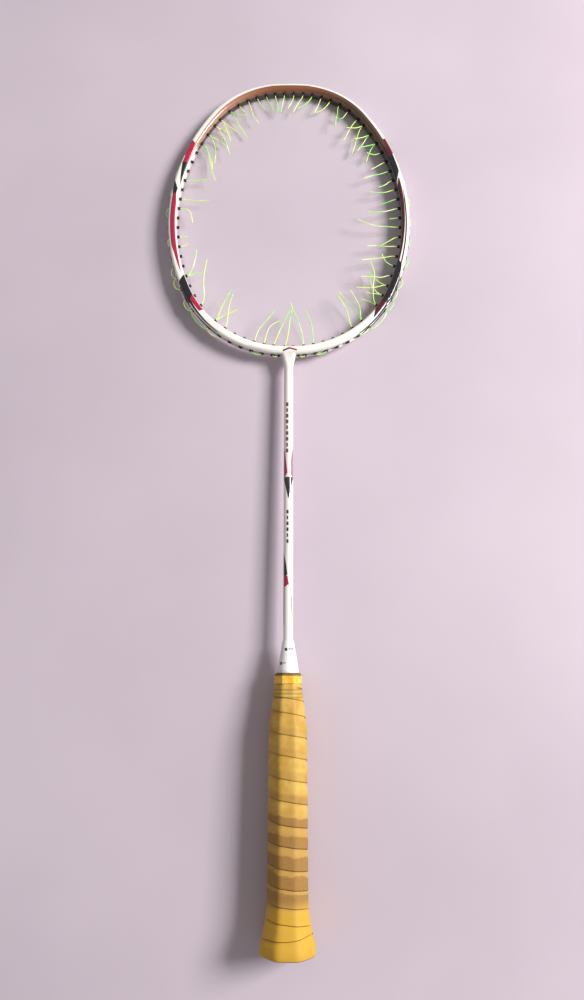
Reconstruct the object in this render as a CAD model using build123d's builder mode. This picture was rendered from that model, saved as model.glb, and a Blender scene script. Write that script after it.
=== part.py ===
from build123d import *
from math import acos, asin, atan2, cos, hypot, pi, radians, sin, sqrt, tan
import os

# Badminton racket with its strings cut out, in millimetres.
# Origin: centre of the butt's end face. +Y runs along the shaft to the head, +Z is square to the
# string plane, +X is to the right when the racket lies on a table with its head away from the viewer.

# ---------------------------------------------------------------- driving dimensions
overall_length = 667.5

# Head: the mid-line of the frame is an oval of tangent arcs, widest at head_centre_y.
frame_width = 6.5
frame_depth = 10.4
frame_corner_r = 2.2
frame_wall = 1.1
groove_width = 3.8
groove_depth = 1.4
head_centre_y = 539.5
head_half_width = 94.25
crown_half_length = overall_length - frame_width / 2 - head_centre_y
crown_radii = (161.0, 69.5, 260.0)
throat_half_length = 115.2
throat_radii = (160.0, 86.0, 140.0)

# Stringing pattern: eight mains and twenty crosses on each side of the axis.
mains_per_side = 8
main_pitch = 8.1
crosses = 20
first_cross_y = 461.5
cross_pitch = 8.95
throat_hole_lean = 32.0

# Grommets
bore_r = 0.8
barrel_r = 1.2
flange_r = 1.6
flange_thickness = 1.9
barrel_proud = 2.0
grommet_clearance = 0.03

# Strings
string_d = 0.7
seat_gap = 0.1
lane_offset = 0.4
mouth_reach = 3.4
short_cut_reach = 2.2
sharp_turn = 80.0
edge_bend_r = 1.0

# Shaft and T-joint
shaft_d = 7.0
shaft_bore_d = 4.6
shaft_bottom_y = 54.5
shaft_top_y = 404.5
spigot_d = 4.5
spigot_length = 26.0
glue_gap = 0.02
throat_half_width = 6.5
throat_half_depth = 4.6

# Cone cap
cone_top_y = 202.0
cone_shoulder_y = 179.5
cone_base_y = 144.5
cone_radii = (4.05, 7.8, 10.7)

# Handle
core_end_y = 1.0
core_top_y = cone_base_y
core_spigot_d = 14.0
core_spigot_length = 14.0
badge_d = 27.0
badge_clearance = 1.0

# Distance across the flats of the wooden core, from the butt up.
core_flats = [(1.0, 30.2), (3.5, 31.4), (7.0, 30.8), (12.0, 28.2), (17.0, 25.4), (22.0, 23.6),
              (30.0, 22.0), (42.0, 21.6), (62.0, 21.6), (95.5, 21.4), (core_top_y, 20.7)]
base_grip_thickness = 1.5

# Distance across the flats of the finished grip, from the butt up.
grip_flats = [(0.6, 35.8), (3.5, 37.0), (7.0, 36.4), (12.0, 33.8), (17.0, 31.0), (22.0, 29.2),
              (30.0, 27.6), (42.0, 27.2), (62.0, 27.2), (95.5, 27.0), (142.5, 26.3), (161.5, 21.6),
              (175.5, 18.0), (180.0, 17.4)]
tape_flats = [(172.5, 18.8), (175.5, 18.0), (179.0, 17.5)]
finishing_tape_thickness = 0.4

# ---------------------------------------------------------------- cut strings
# Each string is what is left of one loop over the outside of the frame between two neighbouring
# holes: (slack of the outside loop, first end, second end). An end is (hole, lane, stub), where the
# holes are numbered from the throat up the right side, over the crown and down the left side, the
# lane is -1, 0 or 1 for strings that lie side by side in one hole, and the stub's points are
# offsets in mm from the mouth of the hole. An empty stub is a string cut off short.
cut_strings = [
    (0.0, (0, 0, []), (1, 0, [(-1, 7, 2), (-3, 15, 3), (-7, 23, 4), (-10, 31, 6)])),
    (0.6, (2, 0, [(0, 8, 1), (-2, 17, 3), (-6, 25, 4)]), (3, 0, [])),
    (0.0, (6, 0, [(-2, 8, 2), (-5, 16, 4), (-10, 23, 6)]), (7, 1, [(0, 8, 3), (-4, 15, 5), (-8, 21, 7)])),
    (2.6, (7, -1, [(-3, 6, 1), (-10, 15, 1), (-17, 23, 2)]), (8, -1, [(-5, 4, -1), (-10, 5, -2)])),
    (2.2, (8, 1, [(-1, 6, 2), (-1, 15, 4), (1, 24, 6), (-3, 32, 8)]), (9, 1, [(-6, 0, 1), (-11, 1, 1)])),
    (0.8, (9, -1, [(-5, 5, -1), (-8, 13, -1), (-8, 21, -2)]), (10, -1, [(-6, 4, -1), (-11, 10, -1)])),
    (1.4, (10, 1, [(-7, -3, 1), (-15, -4, 2), (-23, -4, 3)]),
     (11, 0, [(-6, -3, 1), (-14, -2, 2), (-22, -3, 3)])),
    (1.0, (12, 0, [(-6, 2, 3), (-8, 8, 4)]), (13, 0, [(-7, -2, 1), (-17, -4, 2), (-26, -6, 4)])),
    (0.0, (14, 0, [(-8, -1, 1), (-16, 0, 1), (-23, -1, 2)]), (15, 0, [(-7, -5, 1), (-13, -8, 0)])),
    (0.0, (16, 0, [(-8, 0, 1), (-17, -1, 3), (-25, 1, 4), (-32, 4, 5)]), (17, 0, [(-6, -1, 0)])),
    (0.4, (18, 0, [(-7, -3, 1), (-15, -5, 2), (-23, -5, 3)]), (19, 0, [(-6, -3, 0), (-12, -4, -1)])),
    (0.0, (20, 0, [(-6, -3, 1), (-13, -4, 2), (-19, -3, 2)]), (21, 0, [(-5, -6, 2), (-10, -8, 3)])),
    (0.0, (22, 0, [(-6, -3, 1), (-13, -5, 2), (-19, -8, 3)]), (23, 0, [(-5, -4, 1), (-10, -7, 1)])),
    (0.0, (24, 0, [(-5, -2, 1), (-10, -1, 3)]), (25, -1, [(-4, -8, 0), (-6, -15, -1)])),
    (0.0, (25, 1, [(-6, -3, 2), (-12, -5, 3)]), (26, 1, [(-6, -4, 2), (-11, -5, 3)])),
    (0.5, (26, -1, [(-4, -7, -1), (-8, -12, -2)]), (27, 1, [(-6, -3, 2), (-12, -3, 3)])),
    (0.0, (27, -1, [(-3, -9, 0), (-5, -18, -1), (-8, -26, -1)]),
     (28, 0, [(-4, -7, 1), (-7, -14, 2), (-10, -20, 2)])),
    (0.3, (29, 0, [(-3, -5, 0), (-7, -5, -1), (-9, -2, -2)]),
     (30, 0, [(0, -7, 1), (-2, -14, 2), (-2, -20, 3)])),
    (0.0, (31, 0, [(-3, -4, 0), (-7, -7, -1), (-11, -8, -1)]), (32, 0, [(-2, -7, 1), (-5, -13, 1)])),
    (0.0, (33, 0, [(-5, -6, 0), (-11, -9, -1)]), (34, 0, [(-5, -8, 1), (-8, -16, 1)])),
    (0.0, (35, 0, [(-2, -6, 0), (-5, -11, 0)]), (36, 0, [(-2, -9, 1), (-3, -17, 2)])),
    (0.0, (37, 0, [(2, -8, 1), (2, -15, 1)]), (38, 0, [(3, -6, 0), (6, -11, -1)])),
    (0.0, (39, 0, [(3, -6, 1), (6, -11, 2)]), (40, 0, [(2, -8, 1), (4, -15, 1), (8, -20, 1)])),
    (0.3, (41, 0, [(3, -4, 0)]), (42, 1, [(7, -3, 1), (14, -4, 2)])),
    (0.0, (43, 1, [(2, -6, 1), (4, -12, 1), (7, -17, 2)]),
     (44, 1, [(4, -8, 1), (8, -18, 2), (11, -28, 2)])),
    (0.0, (45, 1, [(2, -5, 1), (4, -11, 1), (5, -20, 2), (4, -29, 3)]),
     (46, 1, [(2, -5, 1), (4, -12, 1), (6, -21, 2), (7, -29, 3), (10, -37, 4)])),
    (0.0, (42, -1, [(3, -6, -1), (8, -14, -1), (13, -22, -2)]), (43, -1, [(6, -5, -1), (12, -9, -1)])),
    (0.0, (44, -1, [(6, -2, -1), (10, -7, -1), (11, -14, 0)]), (45, -1, [(7, -3, -1), (12, -8, -1)])),
    (0.0, (46, -1, [(4, -9, -1), (7, -17, -1), (6, -26, -1)]), (47, 0, [])),
    (0.0, (49, 0, []), (50, 0, [(5, 0, 0), (11, 1, 0), (17, 1, 1)])),
    (0.0, (51, 0, []), (52, 0, [(7, -1, 0), (14, -2, 1), (22, -2, 1)])),
    (1.0, (53, 0, [(6, -1, 0), (8, -7, 0), (9, -13, 0)]), (54, 0, [])),
    (0.0, (56, 0, [(5, 0, 0)]), (57, 0, [(5, 2, 0)])),
    (2.0, (59, 0, []), (60, 1, [(3, 6, 1), (5, 13, 2), (6, 20, 4)])),
    (2.8, (60, -1, [(6, 3, -1), (12, 2, -1)]), (61, 0, [])),
    (2.4, (62, 0, []), (63, 1, [(1, 7, 2), (0, 16, 4), (1, 26, 6), (3, 34, 8)])),
    (2.6, (63, -1, []), (64, -1, [(8, 5, 0), (16, 8, 0)])),
    (1.8, (64, 1, [(3, 8, 2), (7, 16, 3), (11, 23, 5)]), (65, 0, [(1, 9, 1), (2, 18, 3), (5, 25, 5)])),
    (0.6, (68, 0, [(3, 9, 1), (9, 15, 2), (15, 23, 3)]), (69, 0, [(2, 8, 1), (5, 14, 2), (12, 17, 2)])),
    (0.0, (70, 0, [(4, 9, 1), (8, 18, 3), (12, 26, 4)]), (71, 0, [(2, 10, 1), (3, 21, 2), (5, 31, 2)])),
]

# ---------------------------------------------------------------- the head's outline


def quarter_oval(half_width, half_length, radii):
    """Three tangent arcs from the widest point (half_width, 0) to the tip (0, half_length)."""
    side_r, shoulder_r, tip_r = radii
    side_x = half_width - side_r
    tip_y = half_length - tip_r
    span = hypot(side_x, tip_y)
    from_side = side_r - shoulder_r
    from_tip = tip_r - shoulder_r
    along = (from_side ** 2 - from_tip ** 2 + span ** 2) / (2 * span)
    across = sqrt(from_side ** 2 - along ** 2)
    unit_x, unit_y = -side_x / span, tip_y / span
    shoulder = (side_x + unit_x * along - unit_y * across, unit_y * along + unit_x * across)
    side_end = atan2(shoulder[1], shoulder[0] - side_x)
    shoulder_end = atan2(shoulder[1] - tip_y, shoulder[0])
    return [((side_x, 0.0), side_r, 0.0, side_end),
            (shoulder, shoulder_r, side_end, shoulder_end),
            ((0.0, tip_y), tip_r, shoulder_end, pi / 2)]


crown_arcs = quarter_oval(head_half_width, crown_half_length, crown_radii)
throat_arcs = quarter_oval(head_half_width, throat_half_length, throat_radii)


def hole_on(arcs, way, x=None, y=None):
    """Mid-line point and outward normal where the outline has the given x, or y from the widest line."""
    for (centre_x, centre_y), radius, start, end in arcs:
        angle = acos((x - centre_x) / radius) if y is None else asin((abs(y) - centre_y) / radius)
        if start <= angle <= end:
            point = (centre_x + radius * cos(angle), head_centre_y + way * (centre_y + radius * sin(angle)))
            return Vector(*point), Vector(cos(angle), way * sin(angle))
    raise ValueError("no hole at this place")


def right_side_holes():
    """Mid-line points and normals of the right half's holes, from the throat up to the crown."""
    main_xs = [main_pitch * (k + 0.5) for k in range(mains_per_side)]
    holes = [hole_on(throat_arcs, -1, x=x) for x in main_xs]
    for k in range(crosses):
        y = first_cross_y + cross_pitch * k - head_centre_y
        holes.append(hole_on(throat_arcs, -1, y=y) if y < 0 else hole_on(crown_arcs, 1, y=y))
    return holes + [hole_on(crown_arcs, 1, x=x) for x in reversed(main_xs)]


def all_holes():
    """Every hole as (inner wall point, drilling direction, stretch), once round from the throat.

    The two holes beside the T-joint lean away from it, which makes them longer by stretch."""
    holes = []
    for number, (middle, normal) in enumerate(right_side_holes()):
        lean = throat_hole_lean if number == 0 else 0.0
        inner = middle - normal * (frame_width / 2)
        holes.append((inner, normal.rotate(Axis.Z, lean), 1 / cos(radians(lean))))
    mirrored = [(Vector(-p.X, p.Y), Vector(-d.X, d.Y), stretch) for p, d, stretch in reversed(holes)]
    return holes + mirrored


holes = all_holes()


def hole_plane(hole):
    """Plane at the hole's inner end, with its z axis along the hole to the outside."""
    inner, direction, _ = hole
    return Plane(origin=inner, x_dir=(0, 0, 1), z_dir=direction)


def cross_plane(y):
    """Plane square to the shaft at height y, with its normal towards the head."""
    return Plane(origin=(0, y, 0), x_dir=(1, 0, 0), z_dir=(0, 1, 0))


def save(part, name):
    """Label a finished piece and write its STEP file."""
    part.label = name
    export_step(part, f"parts/{name}.step")


os.makedirs("parts", exist_ok=True)

# ---------------------------------------------------------------- head frame
# The ring's mid-line: the right half's six arcs, mirrored.
with BuildLine() as ring_line:
    for arcs, way in ((throat_arcs, -1), (crown_arcs, 1)):
        for (centre_x, centre_y), radius, start, end in arcs:
            centre = (centre_x, head_centre_y + way * centre_y)
            CenterArc(centre, radius, way * start * 180 / pi, way * (end - start) * 180 / pi)
    mirror(about=Plane.YZ)

ring_path = ring_line.wire()
ring_start = Plane(origin=ring_path @ 0, x_dir=(0, 0, 1), z_dir=ring_path % 0)
outward = 1 if ring_start.y_dir.dot(ring_start.origin - Vector(0, head_centre_y)) > 0 else -1

# Outer shape of the ring with its string groove, still solid.
with BuildPart() as ring_blank:
    with BuildSketch(ring_start):
        RectangleRounded(frame_depth, frame_width, frame_corner_r)
        with Locations((0, outward * frame_width / 2)):
            Rectangle(groove_width, 2 * groove_depth, mode=Mode.SUBTRACT)
    sweep(path=ring_path)

cavity_width = frame_width - groove_depth - 2 * frame_wall
with BuildPart() as head_frame:
    add(ring_blank.part)
    with BuildSketch(ring_start):
        with Locations((0, outward * (frame_wall + cavity_width / 2 - frame_width / 2))):
            RectangleRounded(frame_depth - 2 * frame_wall, cavity_width, frame_corner_r - frame_wall)
    sweep(path=ring_path, mode=Mode.SUBTRACT)
    with Locations(*[hole_plane(hole).location for hole in holes]):
        Cylinder(barrel_r + grommet_clearance, 3 * frame_width, mode=Mode.SUBTRACT)
save(head_frame.part, "head_frame")

# ---------------------------------------------------------------- grommets


def grommet_profile(reach, with_flange):
    """Half section of a grommet along its bore, from the inside of the head to the string groove."""
    with BuildSketch(Plane.XZ) as profile:
        with Locations((bore_r, -barrel_proud)):
            Rectangle(barrel_r - bore_r, reach + barrel_proud, align=(Align.MIN, Align.MIN))
        if with_flange:
            with Locations((bore_r, reach - flange_thickness)):
                Rectangle(flange_r - bore_r, flange_thickness, align=(Align.MIN, Align.MIN))
    return profile.sketch


groove_floor = frame_width - groove_depth
flange_top = groove_floor + grommet_clearance + flange_thickness

with BuildPart() as grommet:
    add(grommet_profile(flange_top, with_flange=True))
    revolve(axis=Axis.Z)

with BuildPart() as throat_grommet:
    add(grommet_profile(flange_top / cos(radians(throat_hole_lean)), with_flange=False))
    revolve(axis=Axis.Z)

last_hole = len(holes) - 1
throat_numbers = [0, last_hole]
right_numbers = range(mains_per_side, mains_per_side + crosses)
crown_numbers = range(mains_per_side + crosses, 3 * mains_per_side + crosses)
left_numbers = range(3 * mains_per_side + crosses, 3 * mains_per_side + 2 * crosses)
bottom_numbers = [n for n in range(last_hole + 1) if n < mains_per_side or n > last_hole - mains_per_side]

for name, numbers in (("grommets_bottom", bottom_numbers), ("grommets_right", right_numbers),
                      ("grommets_crown", crown_numbers), ("grommets_left", left_numbers)):
    leaning = [hole_plane(holes[n]).location for n in numbers if n in throat_numbers]
    straight = [hole_plane(holes[n]).location for n in numbers if n not in throat_numbers]
    with BuildPart() as grommets:
        with Locations(*straight):
            add(grommet.part)
        if leaning:
            with Locations(*leaning):
                add(throat_grommet.part)
    save(grommets.part, name)

# ---------------------------------------------------------------- T-joint
ring_outer_y = head_centre_y - throat_half_length - frame_width / 2
with BuildPart() as t_joint:
    for y, half_width, half_depth, corner in (
            (shaft_top_y, shaft_d / 2, shaft_d / 2, 0.999 * shaft_d / 2),
            (shaft_top_y + 8, 3.7, 3.6, 3.2),
            (ring_outer_y - 4, 4.6, 4.2, 2.9),
            (ring_outer_y + 2, throat_half_width, throat_half_depth, 2.4)):
        with BuildSketch(cross_plane(y)):
            RectangleRounded(2 * half_width, 2 * half_depth, corner)
    loft()
    with BuildSketch(cross_plane(shaft_top_y - spigot_length)):
        Circle(spigot_d / 2)
    extrude(amount=spigot_length + 1)
    add(ring_blank.part, mode=Mode.SUBTRACT)
save(t_joint.part, "t_joint")

# ---------------------------------------------------------------- shaft
with BuildPart() as shaft:
    with BuildSketch(cross_plane(shaft_bottom_y)):
        Circle(shaft_d / 2)
        Circle(shaft_bore_d / 2, mode=Mode.SUBTRACT)
    extrude(amount=shaft_top_y - shaft_bottom_y)
save(shaft.part, "shaft")

# ---------------------------------------------------------------- cone cap
tip_r, shoulder_r, base_r = cone_radii
with BuildPart() as cone_blank:
    with BuildSketch(Plane.XY):
        with BuildLine():
            Polyline((0, cone_base_y), (base_r, cone_base_y), (shoulder_r, cone_shoulder_y),
                     (tip_r, cone_top_y), (0, cone_top_y), (0, cone_base_y))
        make_face()
    revolve(axis=Axis.Y)
    fillet(cone_blank.edges().group_by(Axis.Y)[-1], 0.4)

with BuildPart() as cone_cap:
    add(cone_blank.part)
    with BuildSketch(cross_plane(cone_base_y)):
        Circle(core_spigot_d / 2 + glue_gap)
    extrude(amount=core_spigot_length, mode=Mode.SUBTRACT)
    with BuildSketch(cross_plane(cone_base_y)):
        Circle(shaft_d / 2 + glue_gap)
    extrude(amount=cone_top_y - cone_base_y, mode=Mode.SUBTRACT)
save(cone_cap.part, "cone_cap")

# ---------------------------------------------------------------- handle


def octagon_sections(flats, extra):
    """Octagons through (y, distance across flats) stations, with extra added all round."""
    sections = []
    for y, across in flats:
        with BuildSketch(cross_plane(y)) as section:
            RegularPolygon(across / 2 + extra, 8, major_radius=False, rotation=22.5)
        sections.append(section.sketch)
    return sections


with BuildPart() as core_blank:
    loft(octagon_sections(core_flats, 0), ruled=True)

with BuildPart() as handle_core:
    add(core_blank.part)
    with BuildSketch(cross_plane(core_top_y)):
        Circle(core_spigot_d / 2)
    extrude(amount=core_spigot_length)
    with BuildSketch(cross_plane(shaft_bottom_y)):
        Circle(shaft_d / 2 + glue_gap)
    extrude(amount=core_top_y + core_spigot_length - shaft_bottom_y, mode=Mode.SUBTRACT)
save(handle_core.part, "handle_core")

with BuildPart() as butt_badge:
    with BuildSketch(cross_plane(0)):
        Circle(badge_d / 2)
    extrude(amount=core_end_y)
    chamfer(butt_badge.edges().group_by(Axis.Y)[0], 0.3)
save(butt_badge.part, "butt_badge")

with BuildPart() as base_blank:
    loft(octagon_sections(core_flats, base_grip_thickness), ruled=True)

with BuildPart() as base_grip:
    add(base_blank.part)
    add(core_blank.part, mode=Mode.SUBTRACT)
save(base_grip.part, "base_grip")

with BuildPart() as grip_blank:
    loft(octagon_sections(grip_flats, 0), ruled=True)

with BuildPart() as overgrip:
    add(grip_blank.part)
    add(base_blank.part, mode=Mode.SUBTRACT)
    add(cone_blank.part, mode=Mode.SUBTRACT)
    with BuildSketch(cross_plane(0)):
        Circle(badge_d / 2 + badge_clearance)
    extrude(amount=core_end_y, mode=Mode.SUBTRACT)
save(overgrip.part, "overgrip")

with BuildPart() as finishing_tape:
    loft(octagon_sections(tape_flats, finishing_tape_thickness), ruled=True)
    add(grip_blank.part, mode=Mode.SUBTRACT)
save(finishing_tape.part, "finishing_tape")

# ---------------------------------------------------------------- strings


def string_end(number, lane, stub, slack):
    """Mouth of the hole inside the head, and the string's corner over the outside of the frame."""
    inner, direction, stretch = holes[number]
    rise = Vector(0, 0, lane * lane_offset)
    mouth = inner - direction * (mouth_reach if stub else short_cut_reach) + rise
    outside = (flange_top + seat_gap + string_d / 2) * stretch + slack
    return mouth, inner + direction * outside + rise


def string_route(slack, first, second):
    """Points of one cut string, from its first tip over the frame to its second tip."""
    number, lane, stub = first
    mouth, corner = string_end(number, lane, stub, slack)
    route = [mouth + Vector(*offset) for offset in reversed(stub)] + [mouth, corner]
    number, lane, stub = second
    mouth, corner = string_end(number, lane, stub, slack)
    return route + [corner, mouth] + [mouth + Vector(*offset) for offset in stub]


def bend_radii(route, slack):
    """Largest arc at each corner; the outside loop goes round the grommets' edges instead."""
    radii = []
    for before, here, after in zip(route, route[1:], route[2:]):
        turn = radians((here - before).get_angle(after - here))
        largest = 0.45 * min((here - before).length, (after - here).length) / tan(turn / 2)
        round_edge = turn > radians(sharp_turn)
        radii.append(min(largest, edge_bend_r + slack) if round_edge else largest)
    return radii


for count, (slack, first, second) in enumerate(cut_strings, start=1):
    route = string_route(slack, first, second)
    radii = bend_radii(route, slack)
    with BuildPart() as string:
        with BuildLine() as string_line:
            FilletPolyline(*route, radius=radii)
        tube_path = string_line.wire()
        with BuildSketch(Plane(origin=tube_path @ 0, z_dir=tube_path % 0)):
            Circle(string_d / 2)
        sweep(path=tube_path)
    full = pi * string_d ** 2 / 4 * tube_path.length
    print(f"string_{count:02d} length {tube_path.length:.1f} volume/section x length "
          f"{string.part.volume / full:.3f} radii {[round(r, 1) for r in radii]}")
    save(string.part, f"string_{count:02d}")
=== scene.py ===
"""Looks of the badminton racket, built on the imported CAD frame: paint, nylon, cut strings, wound overgrip.

The part's frame is in metres: origin at the butt, +Y to the head, +Z square to the string plane and +X
to the right. The tables below are in millimetres, as in the CAD, and become metres where they are used.
"""

from math import acos, asin, atan2, cos, hypot, pi, radians, sin, sqrt

import bpy
from mathutils import Euler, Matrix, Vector


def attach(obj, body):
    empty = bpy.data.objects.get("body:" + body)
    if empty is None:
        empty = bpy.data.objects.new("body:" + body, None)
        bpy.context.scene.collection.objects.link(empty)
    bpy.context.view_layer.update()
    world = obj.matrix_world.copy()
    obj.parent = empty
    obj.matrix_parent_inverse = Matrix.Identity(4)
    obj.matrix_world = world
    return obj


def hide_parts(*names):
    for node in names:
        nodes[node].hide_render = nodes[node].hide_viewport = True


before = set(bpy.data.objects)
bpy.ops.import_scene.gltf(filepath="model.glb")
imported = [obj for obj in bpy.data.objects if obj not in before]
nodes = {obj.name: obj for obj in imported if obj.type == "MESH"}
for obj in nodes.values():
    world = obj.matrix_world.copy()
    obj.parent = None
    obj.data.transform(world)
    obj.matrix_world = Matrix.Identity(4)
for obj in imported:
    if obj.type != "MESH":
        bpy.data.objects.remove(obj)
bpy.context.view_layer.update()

MM = 0.001

# ---------------------------------------------------------------- dimensions shared with the CAD, in mm
HEAD_CENTRE_Y = 539.5
HALF_WIDTH = 94.25
CROWN_HALF_LENGTH = 124.75
CROWN_RADII = (161.0, 69.5, 260.0)
THROAT_HALF_LENGTH = 115.2
THROAT_RADII = (160.0, 86.0, 140.0)
FRAME_WIDTH = 6.5

MAINS_PER_SIDE = 8
MAIN_PITCH = 8.1
CROSSES = 20
FIRST_CROSS_Y = 461.5
CROSS_PITCH = 8.95
THROAT_HOLE_LEAN = 32.0

STRING_D = 0.7
# A hole that two strings share has one above the middle (lane 1) and one below it (lane -1).
LANE_OFFSET = 0.4
# Reaches along a hole from the frame's inner wall: inward to the mouth of the grommet or to the cut of a
# string without a stub, and outward to the loop and to the point in the bore that steadies the curve.
MOUTH_REACH = 3.4
SHORT_CUT_REACH = 2.2
LOOP_REACH = 7.8
EDGE_POINT_REACH = 2.4

# Each cut string: (length, slack of the outside loop, first end, second end), as in the CAD. An end is
# (hole, lane, stub), and the stub's points are offsets in mm from the mouth of the hole.
CUT_STRINGS = [
    (58.3, 0.0, (0, 0, []), (1, 0, [(-1, 7, 2), (-3, 15, 3), (-7, 23, 4), (-10, 31, 6)])),
    (55.5, 0.6, (2, 0, [(0, 8, 1), (-2, 17, 3), (-6, 25, 4)]), (3, 0, [])),
    (81.4, 0.0, (6, 0, [(-2, 8, 2), (-5, 16, 4), (-10, 23, 6)]),
     (7, 1, [(0, 8, 3), (-4, 15, 5), (-8, 21, 7)])),
    (83.6, 2.6, (7, -1, [(-3, 6, 1), (-10, 15, 1), (-17, 23, 2)]), (8, -1, [(-5, 4, -1), (-10, 5, -2)])),
    (78.8, 2.2, (8, 1, [(-1, 6, 2), (-1, 15, 4), (1, 24, 6), (-3, 32, 8)]),
     (9, 1, [(-6, 0, 1), (-11, 1, 1)])),
    (70.5, 0.8, (9, -1, [(-5, 5, -1), (-8, 13, -1), (-8, 21, -2)]),
     (10, -1, [(-6, 4, -1), (-11, 10, -1)])),
    (78.2, 1.4, (10, 1, [(-7, -3, 1), (-15, -4, 2), (-23, -4, 3)]),
     (11, 0, [(-6, -3, 1), (-14, -2, 2), (-22, -3, 3)])),
    (71.2, 1.0, (12, 0, [(-6, 2, 3), (-8, 8, 4)]), (13, 0, [(-7, -2, 1), (-17, -4, 2), (-26, -6, 4)])),
    (68.3, 0.0, (14, 0, [(-8, -1, 1), (-16, 0, 1), (-23, -1, 2)]), (15, 0, [(-7, -5, 1), (-13, -8, 0)])),
    (69.3, 0.0, (16, 0, [(-8, 0, 1), (-17, -1, 3), (-25, 1, 4), (-32, 4, 5)]), (17, 0, [(-6, -1, 0)])),
    (67.2, 0.4, (18, 0, [(-7, -3, 1), (-15, -5, 2), (-23, -5, 3)]),
     (19, 0, [(-6, -3, 0), (-12, -4, -1)])),
    (63.3, 0.0, (20, 0, [(-6, -3, 1), (-13, -4, 2), (-19, -3, 2)]), (21, 0, [(-5, -6, 2), (-10, -8, 3)])),
    (63.6, 0.0, (22, 0, [(-6, -3, 1), (-13, -5, 2), (-19, -8, 3)]), (23, 0, [(-5, -4, 1), (-10, -7, 1)])),
    (57.8, 0.0, (24, 0, [(-5, -2, 1), (-10, -1, 3)]), (25, -1, [(-4, -8, 0), (-6, -15, -1)])),
    (57.3, 0.0, (25, 1, [(-6, -3, 2), (-12, -5, 3)]), (26, 1, [(-6, -4, 2), (-11, -5, 3)])),
    (59.7, 0.5, (26, -1, [(-4, -7, -1), (-8, -12, -2)]), (27, 1, [(-6, -3, 2), (-12, -3, 3)])),
    (78.2, 0.0, (27, -1, [(-3, -9, 0), (-5, -18, -1), (-8, -26, -1)]),
     (28, 0, [(-4, -7, 1), (-7, -14, 2), (-10, -20, 2)])),
    (65.2, 0.3, (29, 0, [(-3, -5, 0), (-7, -5, -1), (-9, -2, -2)]),
     (30, 0, [(0, -7, 1), (-2, -14, 2), (-2, -20, 3)])),
    (58.2, 0.0, (31, 0, [(-3, -4, 0), (-7, -7, -1), (-11, -8, -1)]),
     (32, 0, [(-2, -7, 1), (-5, -13, 1)])),
    (61.6, 0.0, (33, 0, [(-5, -6, 0), (-11, -9, -1)]), (34, 0, [(-5, -8, 1), (-8, -16, 1)])),
    (58.5, 0.0, (35, 0, [(-2, -6, 0), (-5, -11, 0)]), (36, 0, [(-2, -9, 1), (-3, -17, 2)])),
    (57.3, 0.0, (37, 0, [(2, -8, 1), (2, -15, 1)]), (38, 0, [(3, -6, 0), (6, -11, -1)])),
    (64.6, 0.0, (39, 0, [(3, -6, 1), (6, -11, 2)]), (40, 0, [(2, -8, 1), (4, -15, 1), (8, -20, 1)])),
    (51.6, 0.3, (41, 0, [(3, -4, 0)]), (42, 1, [(7, -3, 1), (14, -4, 2)])),
    (77.3, 0.0, (43, 1, [(2, -6, 1), (4, -12, 1), (7, -17, 2)]),
     (44, 1, [(4, -8, 1), (8, -18, 2), (11, -28, 2)])),
    (99.6, 0.0, (45, 1, [(2, -5, 1), (4, -11, 1), (5, -20, 2), (4, -29, 3)]),
     (46, 1, [(2, -5, 1), (4, -12, 1), (6, -21, 2), (7, -29, 3), (10, -37, 4)])),
    (73.9, 0.0, (42, -1, [(3, -6, -1), (8, -14, -1), (13, -22, -2)]),
     (43, -1, [(6, -5, -1), (12, -9, -1)])),
    (66.0, 0.0, (44, -1, [(6, -2, -1), (10, -7, -1), (11, -14, 0)]),
     (45, -1, [(7, -3, -1), (12, -8, -1)])),
    (56.8, 0.0, (46, -1, [(4, -9, -1), (7, -17, -1), (6, -26, -1)]), (47, 0, [])),
    (46.3, 0.0, (49, 0, []), (50, 0, [(5, 0, 0), (11, 1, 0), (17, 1, 1)])),
    (51.1, 0.0, (51, 0, []), (52, 0, [(7, -1, 0), (14, -2, 1), (22, -2, 1)])),
    (47.9, 1.0, (53, 0, [(6, -1, 0), (8, -7, 0), (9, -13, 0)]), (54, 0, [])),
    (40.5, 0.0, (56, 0, [(5, 0, 0)]), (57, 0, [(5, 2, 0)])),
    (52.7, 2.0, (59, 0, []), (60, 1, [(3, 6, 1), (5, 13, 2), (6, 20, 4)])),
    (45.3, 2.8, (60, -1, [(6, 3, -1), (12, 2, -1)]), (61, 0, [])),
    (68.1, 2.4, (62, 0, []), (63, 1, [(1, 7, 2), (0, 16, 4), (1, 26, 6), (3, 34, 8)])),
    (60.0, 2.6, (63, -1, []), (64, -1, [(8, 5, 0), (16, 8, 0)])),
    (85.7, 1.8, (64, 1, [(3, 8, 2), (7, 16, 3), (11, 23, 5)]),
     (65, 0, [(1, 9, 1), (2, 18, 3), (5, 25, 5)])),
    (80.7, 0.6, (68, 0, [(3, 9, 1), (9, 15, 2), (15, 23, 3)]),
     (69, 0, [(2, 8, 1), (5, 14, 2), (12, 17, 2)])),
    (86.4, 0.0, (70, 0, [(4, 9, 1), (8, 18, 3), (12, 26, 4)]),
     (71, 0, [(2, 10, 1), (3, 21, 2), (5, 31, 2)])),
]

# Distance across the flats of the finished grip, from the butt up: (y, across).
GRIP_FLATS = [(0.6, 35.8), (3.5, 37.0), (7.0, 36.4), (12.0, 33.8), (17.0, 31.0), (22.0, 29.2),
              (30.0, 27.6), (42.0, 27.2), (62.0, 27.2), (95.5, 27.0), (142.5, 26.3), (161.5, 21.6),
              (175.5, 18.0), (180.0, 17.4)]

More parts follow.
